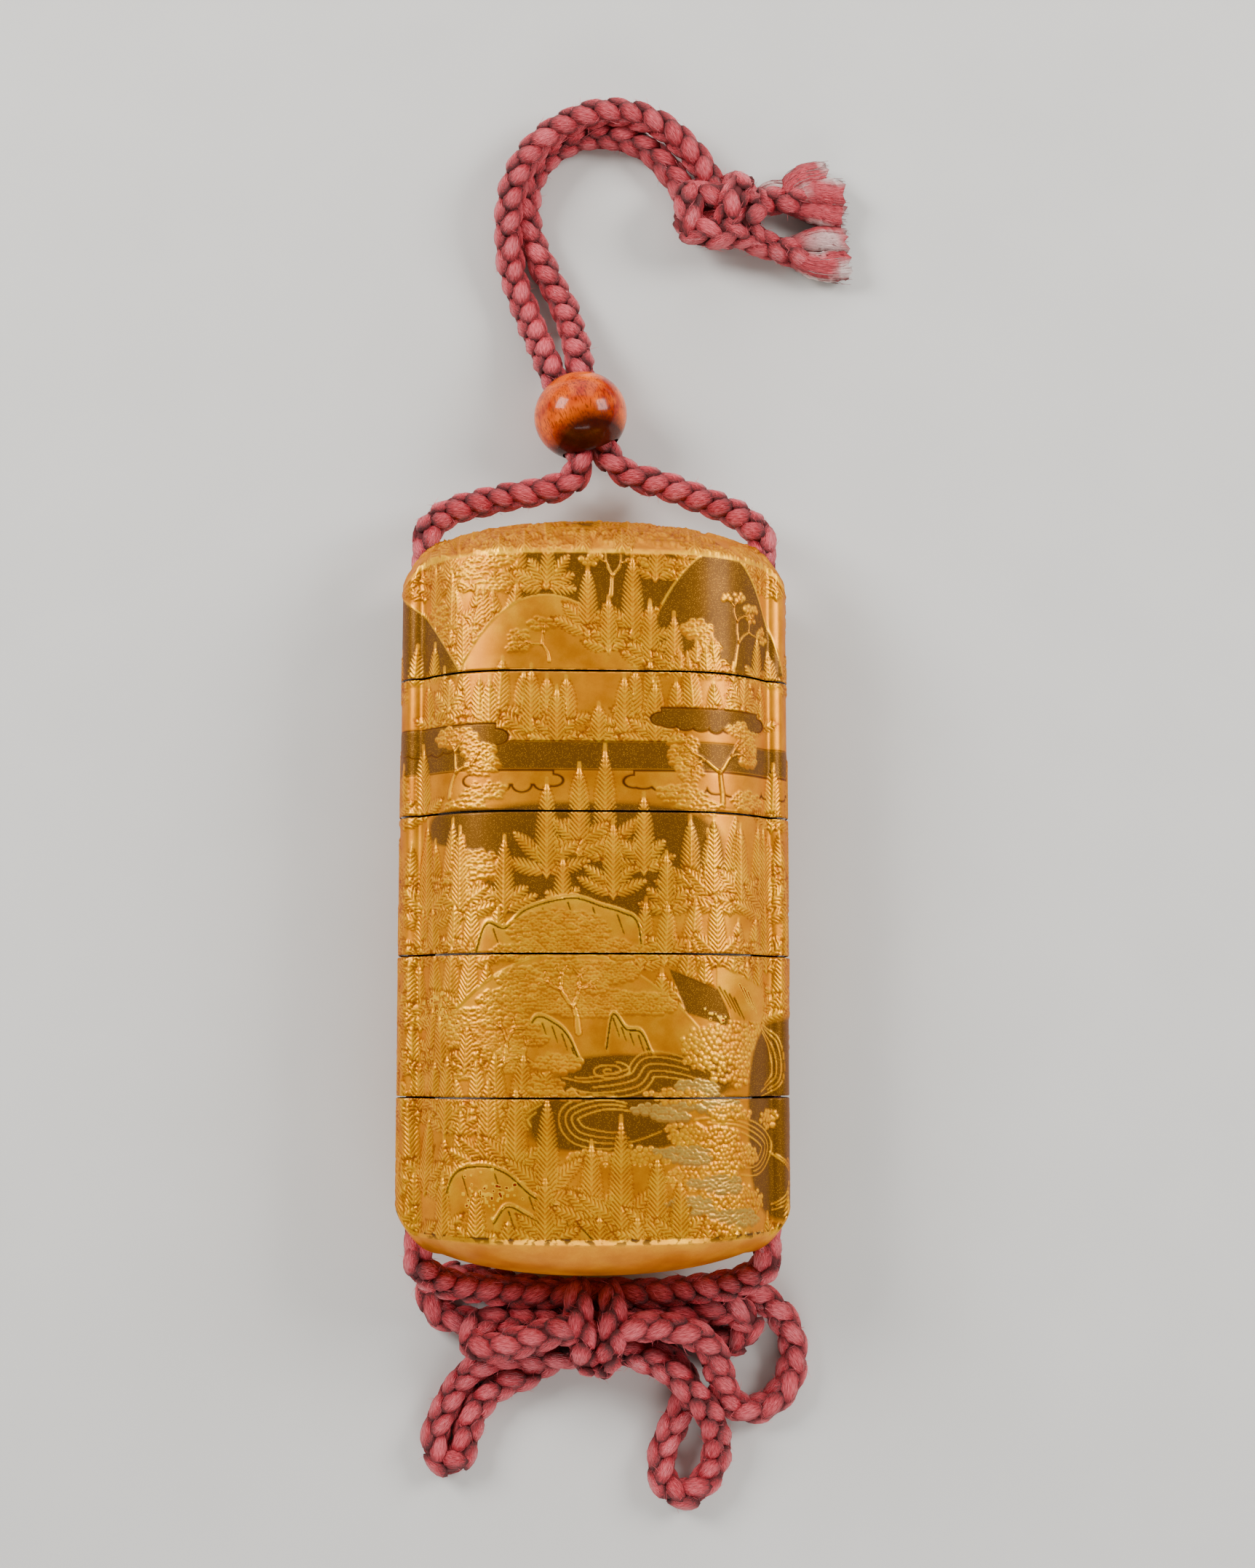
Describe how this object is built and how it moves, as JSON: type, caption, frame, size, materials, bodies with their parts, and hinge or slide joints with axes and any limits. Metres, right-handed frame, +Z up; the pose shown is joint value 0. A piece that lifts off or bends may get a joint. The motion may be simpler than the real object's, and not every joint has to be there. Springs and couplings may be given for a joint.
{
  "type": "inro_case",
  "caption": "Gold lacquer inro case in stacked sections, with a braided rose cord, round bead, top knot and bow, lying on its back",
  "frame": {"origin": "under the middle of the case, on the surface it lies on", "axes": "+X to the right of the front, +Y towards the lid, +Z up out of the front"},
  "size_m": [0.0598, 0.1886, 0.025],
  "materials": {
    "gold_lacquer": "gloss",
    "bead_wood": "gloss",
    "silk_cord": "braided"
  },
  "bodies": {
    "root": {"lid": "gold_lacquer", "case_1": "gold_lacquer", "case_2": "gold_lacquer", "case_3": "gold_lacquer", "case_4": "gold_lacquer", "bead": "bead_wood", "top_knot": "silk_cord", "bow_knot": "silk_cord", "cord_upper_left": "silk_cord", "cord_upper_right": "silk_cord", "cord_lower_left": "silk_cord", "cord_lower_right": "silk_cord", "cord_in_left_channel": "silk_cord", "cord_in_right_channel": "silk_cord", "bow_right_ring": "silk_cord", "bow_right_fold": "silk_cord", "bow_right_drop": "silk_cord", "bow_left_ear": "silk_cord", "bow_left_fold": "silk_cord", "bow_left_drop": "silk_cord", "cut_end_upper": "silk_cord", "cut_end_lower": "silk_cord"}
  },
  "joints": []
}
